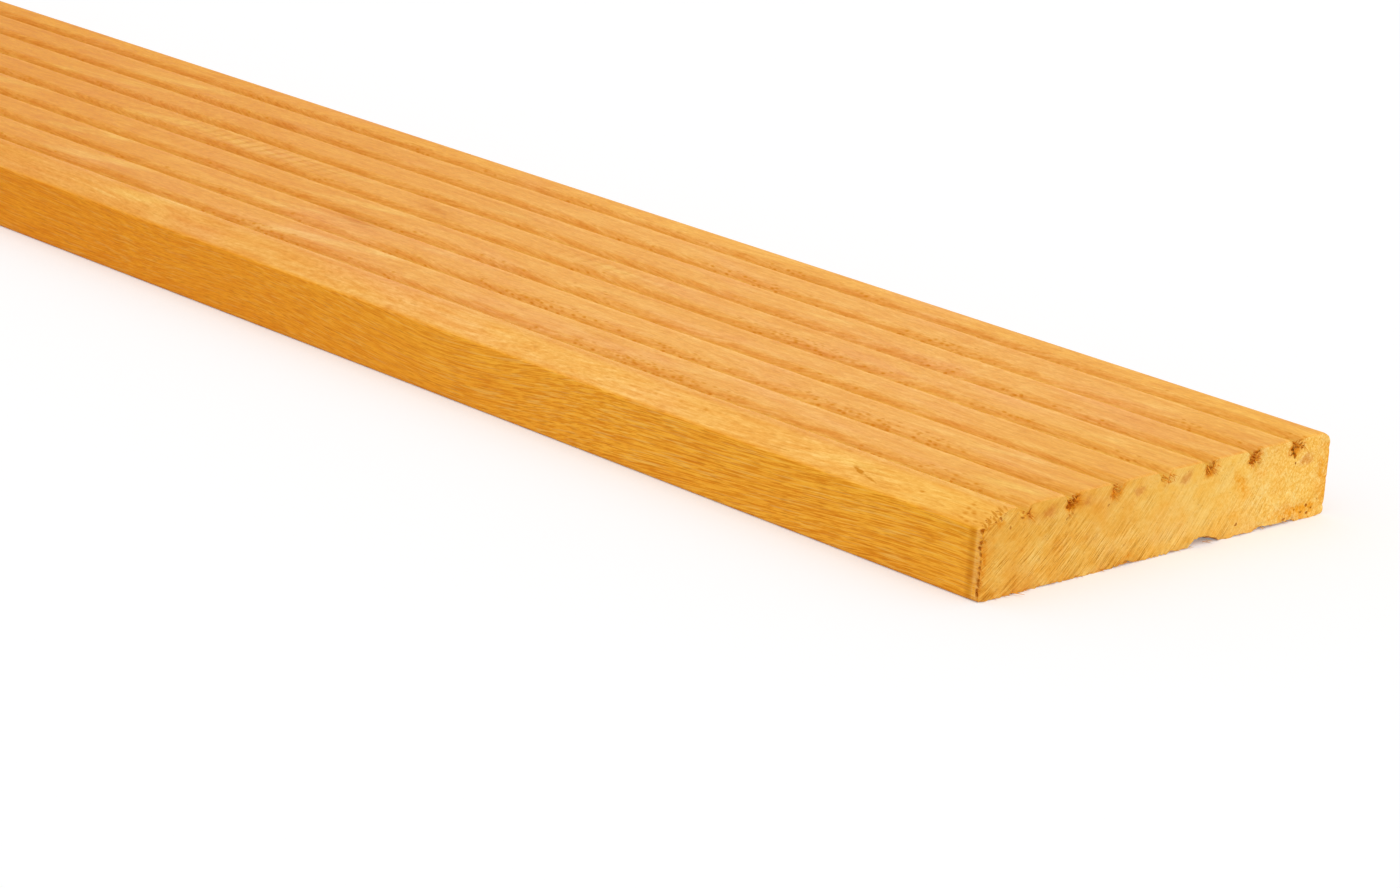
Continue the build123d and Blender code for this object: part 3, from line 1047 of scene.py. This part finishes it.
fibreFinish = {
    "yellow": (0.92, 0.46, 0.060, 1), "orange": (0.84, 0.32, 0.018, 1), "pink": (0.88, 0.40, 0.05, 1),
    "dark": (0.55, 0.14, 0.003, 1), "roughness": (0.65, 0.85), "specular": 0.05, "relief": 0.00005,
    "toneScales": (6.0, 6.0, 6.0), "streaks": 1.2, "poreAmount": 0.4, "poreShare": 0.3,
}


def fibreMaterial():
    look = fibreFinish
    material, tree, surface, place = newMaterial("tornFibre")
    tone = woodColours(tree, look, spread(tree, place, look["toneScales"]), 1.0, look["streaks"])
    pores = useGroup(tree, poreDashes, Vector=place, Amount=look["poreAmount"])["Mask"]
    colour = blendColour(tree, mark(tree, "sliverTone"), tone["Color"], look["dark"])
    colour = blendColour(tree, times(tree, pores, look["poreShare"]), colour, look["dark"])
    finishSurface(tree, surface, look, colour, tone["Streak"], tone["Streak"])
    return material


def triangleCount(piece):
    return sum(len(p.vertices) - 2 for p in piece.data.polygons)


board = addObject("groovedPlank", plankMesh())
board.data.materials.append(planedMaterial())
board.data.materials.append(sawnMaterial())
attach(board, "root")
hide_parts("plank")
print("plank built,", triangleCount(board), "triangles")


# torn fibres that stand out of the sawn end

fibres = {
    "seed": 7, "rings": 5, "sides": 4, "rootDepth": 0.6, "leastUp": 0.2,
    "taper": 0.85, "taperPower": 1.4, "flatness": (1.5, 0.8), "toneLoss": 0.5,
    # each kind: how far it leans out of the end, mean and spread of its lean sideways and up,
    # then its length, width, sag and darkness, and where it is rooted
    "tuft": {"out": -0.8, "sideways": (0.25, 0.5), "upward": (-0.05, 0.4),
             "length": (1.4, 3.4), "width": (0.26, 0.52), "sag": 0.22, "tones": (0.0, 0.75),
             "perGroove": 14, "least": 3, "scatter": (1.2, 0.8), "height": 22.2, "slant": 0.35,
             "depth": (0.8, 1.8)},
    "fringe": {"out": -0.8, "sideways": (0.1, 0.3), "upward": (-0.05, 0.12),
               "length": (0.5, 1.6), "width": (0.12, 0.28), "sag": 0.06, "tones": (0.0, 0.5),
               "count": 150, "reach": (-71.5, 71.0), "nearReach": (-71.5, -10.0), "height": (0.25, 0.9),
               "depth": 0.5},
    "arris": {"out": -0.8, "sideways": (-0.10, 0.25), "upward": (-0.35, 0.4),
              "length": (0.5, 1.5), "width": (0.12, 0.28), "sag": 0.08, "tones": (0.0, 0.8),
              "count": 46, "across": -72.1, "height": (0.8, 19.6), "depth": (0.3, 1.2)},
    "bevel": {"out": -0.9, "sideways": (0.05, 0.2), "upward": (-0.1, 0.15),
              "length": (1.2, 2.6), "width": (0.12, 0.28), "sag": 0.08, "tones": (0.1, 0.8),
              "count": 16, "share": (0.1, 1.0), "foot": (-72.0, 20.2), "run": (8.5, 4.6),
              "depth": (0.8, 2.4)},
    # pale splinters under the lower edge: across, up, length, width
    "splinters": [
        (-59.5, 0.7, 4.8, 0.60), (-62.5, 0.6, 3.2, 0.44), (-55.0, 0.5, 2.6, 0.36), (-67.0, 0.6, 2.6, 0.40),
    ],
    "splinterDepth": 0.6, "splinterLean": (-0.8, 0.35), "splinterDrop": -0.1, "splinterSag": 0.1,
}


def sliverSet():
    # start, tip, sag, width and tone of each sliver
    draw = np.random.default_rng(fibres["seed"])
    found = []

    def lean(kind):
        return np.array([kind["out"], draw.normal(*kind["sideways"]), draw.normal(*kind["upward"])])

    def grow(kind, start, direction):
        start = np.array(start)
        tip = start + unit(direction) * draw.uniform(*kind["length"])
        sag = draw.normal(0, kind["sag"])
        found.append((start, tip, sag, draw.uniform(*kind["width"]), draw.uniform(*kind["tones"])))

    kind = fibres["tuft"]
    acrossScatter, upScatter = kind["scatter"]
    for number, strength, shift in tornGrooves:
        centre = grooveCentres[number] + shift
        for k in range(round(kind["perGroove"] * strength) + kind["least"]):
            across = centre + draw.normal(0, acrossScatter)
            up = kind["height"] + draw.normal(0, upScatter) + kind["slant"] * (across - centre)
            direction = lean(kind)
            grow(kind, (draw.uniform(*kind["depth"]), across, up), direction)
    kind = fibres["fringe"]
    for k in range(kind["count"]):
        across = draw.uniform(*kind["reach" if k % 3 else "nearReach"])
        direction = lean(kind)
        grow(kind, (kind["depth"], across, draw.uniform(*kind["height"])), direction)
    kind = fibres["arris"]
    for k in range(kind["count"]):
        direction = lean(kind)
        grow(kind, (draw.uniform(*kind["depth"]), kind["across"], draw.uniform(*kind["height"])), direction)
    kind = fibres["bevel"]
    for k in range(kind["count"]):
        share = draw.uniform(*kind["share"])
        direction = lean(kind)
        across, up = (foot + run * share for foot, run in zip(kind["foot"], kind["run"]))
        grow(kind, (draw.uniform(*kind["depth"]), across, up), direction)
    out, sideways = fibres["splinterLean"]
    for across, up, length, width in fibres["splinters"]:
        start = np.array([fibres["splinterDepth"], across, up])
        tip = start + np.array([length * out, length * sideways, fibres["splinterDrop"]])
        found.append((start, tip, fibres["splinterSag"], width, 0.0))
    return found


def sliverMesh():
    points, faces, tones = [], [], []
    sides, rings = fibres["sides"], fibres["rings"]
    wide, thin = fibres["flatness"]
    for start, tip, sag, width, tone in sliverSet():
        line = unit(tip - start)
        start = start - line * fibres["rootDepth"]
        side = unit(np.cross(line, np.array([0.21, 0.13, 0.97])))
        rise = np.cross(side, line)
        first = len(points)
        for ring in range(rings):
            share = ring / (rings - 1)
            middle = start + (tip - start) * share + rise * sag * share * share * 2
            middle[2] = max(middle[2], fibres["leastUp"])
            reach = width * (1 - fibres["taper"] * share ** fibres["taperPower"]) / 2
            for k in range(sides):
                angle = 2 * math.pi * (k + 0.5) / sides
                outward = side * math.cos(angle) * wide + rise * math.sin(angle) * thin
                points.append(middle + reach * outward)
                tones.append(tone * (1 - fibres["toneLoss"] * share))
        for ring in range(rings - 1):
            for k in range(sides):
                a = first + ring * sides
                faces.append((a + k, a + (k + 1) % sides, a + sides + (k + 1) % sides, a + sides + k))
        faces.append(tuple(first + k for k in range(sides))[::-1])
        faces.append(tuple(first + (rings - 1) * sides + k for k in range(sides)))
    mesh = bpy.data.meshes.new("endFibres")
    mesh.from_pydata(toMetres(np.array(points)).tolist(), [], faces)
    layer = mesh.attributes.new("sliverTone", "FLOAT", "POINT")
    layer.data.foreach_set("value", np.array(tones, np.float32))
    mesh.polygons.foreach_set("use_smooth", [True] * len(mesh.polygons))
    mesh.update()
    return mesh


slivers = addObject("endFibres", sliverMesh())
slivers.data.materials.append(fibreMaterial())
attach(slivers, "root")
print("fibres built,", triangleCount(slivers), "triangles")


# white floor, soft light and the camera of the picture

floorLook = {"size": 16.0, "colour": (0.80, 0.80, 0.80, 1), "lift": 0.20}


def makeFloor():
    half = floorLook["size"] / 2
    mesh = bpy.data.meshes.new("studioFloor")
    corners = [(-half, -half, 0), (half, -half, 0), (half, half, 0), (-half, half, 0)]
    mesh.from_pydata(corners, [], [(0, 1, 2, 3)])
    floor = addObject("studioFloor", mesh)
    floor.location.z = plankLow.z
    material = bpy.data.materials.new("whiteFloor")
    tree = emptyTree(material)
    matt = addNode(tree, "ShaderNodeBsdfDiffuse")
    matt.inputs["Color"].default_value = floorLook["colour"]
    lift = addNode(tree, "ShaderNodeEmission")
    rays = addNode(tree, "ShaderNodeLightPath")
    seen = larger(tree, rays.outputs["Is Camera Ray"], rays.outputs["Is Glossy Ray"])
    feed(tree, lift.inputs["Strength"], times(tree, seen, floorLook["lift"]))
    both = addNode(tree, "ShaderNodeAddShader")
    tree.links.new(matt.outputs[0], both.inputs[0])
    tree.links.new(lift.outputs[0], both.inputs[1])
    output = addNode(tree, "ShaderNodeOutputMaterial")
    tree.links.new(both.outputs[0], output.inputs["Surface"])
    mesh.materials.append(material)


lightLook = {"sky": 0.74, "sunStrength": 1.06, "sunFrom": (0.60, -0.12, 0.79), "sunSpread": 50.0}


def makeLight():
    world = bpy.data.worlds.new("softStudio")
    bpy.context.scene.world = world
    tree = emptyTree(world)
    rays = addNode(tree, "ShaderNodeLightPath")
    seen = larger(tree, rays.outputs["Is Camera Ray"], rays.outputs["Is Glossy Ray"])
    seen = larger(tree, seen, rays.outputs["Is Transmission Ray"])
    sky = addNode(tree, "ShaderNodeBackground")
    sky.inputs["Color"].default_value = (1, 1, 1, 1)
    feed(tree, sky.inputs["Strength"], graded(tree, seen, 1 - lightLook["sky"], lightLook["sky"]))
    output = addNode(tree, "ShaderNodeOutputWorld")
    tree.links.new(sky.outputs[0], output.inputs["Surface"])
    sun = bpy.data.lights.new("softKey", "SUN")
    sun.energy = lightLook["sunStrength"]
    sun.angle = math.radians(lightLook["sunSpread"])
    lamp = addObject("softKey", sun)
    lamp.rotation_euler = Vector(lightLook["sunFrom"]).to_track_quat("Z", "Y").to_euler()


# where the camera stood, from the plank's seen end, and how it was turned
cameraLook = {"fromEnd": (0.7282, -0.9040, 0.3734), "azimuth": 45.17, "elevation": 16.901, "roll": 4.211,
              "focalPixels": 4405.5, "pictureWidth": 1400, "sensor": 36.0}


def makeCamera():
    azimuth, elevation, roll = (math.radians(cameraLook[k]) for k in ("azimuth", "elevation", "roll"))
    right = Vector((math.cos(azimuth), math.sin(azimuth), 0))
    outward = Vector((math.sin(azimuth), -math.cos(azimuth), 0))
    back = outward * math.cos(elevation) + Vector((0, 0, math.sin(elevation)))
    up = back.cross(right)
    side = right * math.cos(roll) + up * math.sin(roll)
    rise = up * math.cos(roll) - right * math.sin(roll)
    data = bpy.data.cameras.new("pictureCamera")
    data.sensor_width = cameraLook["sensor"]
    data.sensor_fit = "HORIZONTAL"
    data.lens = cameraLook["sensor"] * cameraLook["focalPixels"] / cameraLook["pictureWidth"]
    data.clip_start = 0.01
    camera = addObject("pictureCamera", data)
    turn = Matrix((side, rise, back)).transposed().to_4x4()
    spot = Vector(cameraLook["fromEnd"]) + Vector((plankHigh.x, 0, plankLow.z))
    camera.matrix_world = Matrix.Translation(spot) @ turn
    bpy.context.scene.camera = camera


makeFloor()
makeLight()
makeCamera()
bpy.context.scene.view_settings.view_transform = "Standard"
print("floor, light and camera set")
